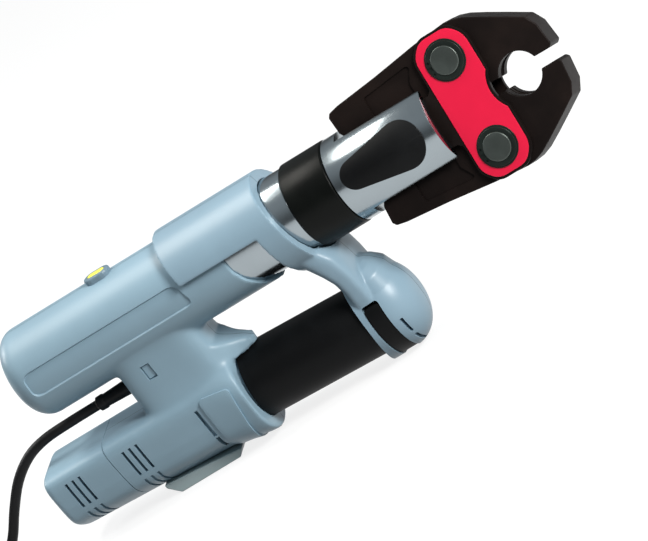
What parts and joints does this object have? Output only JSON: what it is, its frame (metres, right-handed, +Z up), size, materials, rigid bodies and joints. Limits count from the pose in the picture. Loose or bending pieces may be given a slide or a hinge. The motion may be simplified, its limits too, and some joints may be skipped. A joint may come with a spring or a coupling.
{
  "type": "pipe press tool",
  "caption": "Hand-held electro-hydraulic press tool with a swivelling fork head, roller ram, hinged press jaws and a mains lead.",
  "frame": {"origin": "centre of the underside of the base rail, on the parting plane of the housing", "axes": "+X forwards along the barrel to the jaws, +Z up, +Y to the tool's left"},
  "size_m": [0.6627, 0.1166, 0.1655],
  "materials": {
    "housing_grey": "satin moulded plastic",
    "guard_grey": "satin moulded plastic",
    "rubber_black": "matt rubber",
    "chrome": "satin chrome",
    "black_oxide": "black oxide on forged steel",
    "plate_red": "red coated steel",
    "steel": "machined steel",
    "cast_alloy": "die-cast alloy",
    "lens_yellow": "tinted lens",
    "bezel_grey": "moulded plastic",
    "board_green": "circuit board",
    "cord_black": "rubber cable sheath"
  },
  "bodies": {
    "tool_body": {"left_housing_shell": "housing_grey", "right_housing_shell": "housing_grey", "rear_cover": "housing_grey", "left_guard_shell": "guard_grey", "right_guard_shell": "guard_grey", "base_rail": "housing_grey", "grip_tube": "housing_grey", "grip_sleeve": "rubber_black", "indicator_bezel": "bezel_grey", "indicator_lens": "lens_yellow", "trigger_switch": "rubber_black", "drive_motor": "steel", "gearbox_case": "cast_alloy", "pump_block": "cast_alloy", "oil_reservoir": "rubber_black", "power_supply": "cast_alloy", "control_board": "board_green", "mains_filter": "steel", "housing_screw_1": "steel", "housing_screw_2": "steel", "housing_screw_3": "steel", "housing_screw_4": "steel", "cylinder_barrel": "chrome", "strain_relief": "rubber_black", "mains_lead": "cord_black", "cord_coil": "cord_black", "mains_plug": "rubber_black"},
    "swivel_head": {"fork_head": "chrome", "swivel_ring": "rubber_black", "near_cheek_pad": "rubber_black", "far_cheek_pad": "rubber_black", "near_side_plate": "plate_red", "far_side_plate": "plate_red", "upper_jaw_pin": "steel", "lower_jaw_pin": "steel", "upper_near_circlip": "steel", "upper_far_circlip": "steel", "lower_near_circlip": "steel", "lower_far_circlip": "steel"},
    "ram": {"ram_rod": "chrome"},
    "upper_roller": {"upper_roller": "steel"},
    "lower_roller": {"lower_roller": "steel"},
    "upper_jaw": {"upper_jaw": "black_oxide"},
    "lower_jaw": {"lower_jaw": "black_oxide"},
    "locking_bolt": {"locking_bolt": "steel"},
    "trigger": {"trigger": "rubber_black"},
    "release_button": {"release_button": "housing_grey"},
    "drive_shaft": {"drive_shaft": "steel"}
  },
  "joints": [
    {"name": "head_swivel", "type": "hinge", "parent": "tool_body", "child": "swivel_head", "pos_m": [0.171, 0, 0.114], "axis": [1, 0, 0], "range_deg": [-118, 152]},
    {"name": "ram_slide", "type": "slide", "parent": "swivel_head", "child": "ram", "axis": [1, 0, 0], "range_m": [0, 0.044], "stiffness_N_per_m": 400},
    {"name": "upper_roller_spin", "type": "hinge", "parent": "ram", "child": "upper_roller", "pos_m": [0.1855, 0.00272, 0.12289], "axis": [0, 0.9563, -0.2924], "continuous": true},
    {"name": "lower_roller_spin", "type": "hinge", "parent": "ram", "child": "lower_roller", "pos_m": [0.1855, -0.00272, 0.10511], "axis": [0, 0.9563, -0.2924], "continuous": true},
    {"name": "upper_jaw_pivot", "type": "hinge", "parent": "swivel_head", "child": "upper_jaw", "pos_m": [0.2872, 0.00901, 0.14345], "axis": [0, 0.9563, -0.2924], "range_deg": [-9, 3], "stiffness_Nm_per_rad": 6},
    {"name": "lower_jaw_pivot", "type": "hinge", "parent": "swivel_head", "child": "lower_jaw", "pos_m": [0.2872, -0.00901, 0.08455], "axis": [0, -0.9563, 0.2924], "range_deg": [-9, 3], "stiffness_Nm_per_rad": 6},
    {"name": "bolt_slide", "type": "slide", "parent": "swivel_head", "child": "locking_bolt", "axis": [0, 0.9563, -0.2924], "range_m": [0, 0.04]},
    {"name": "trigger_press", "type": "slide", "parent": "tool_body", "child": "trigger", "axis": [0, 0, 1], "range_m": [0, 0.002], "stiffness_N_per_m": 1500},
    {"name": "release_press", "type": "slide", "parent": "tool_body", "child": "release_button", "axis": [0, 1, 0], "range_m": [0, 0.0015], "stiffness_N_per_m": 1500},
    {"name": "shaft_spin", "type": "hinge", "parent": "tool_body", "child": "drive_shaft", "pos_m": [0.03, 0, 0.114], "axis": [1, 0, 0], "continuous": true}
  ]
}
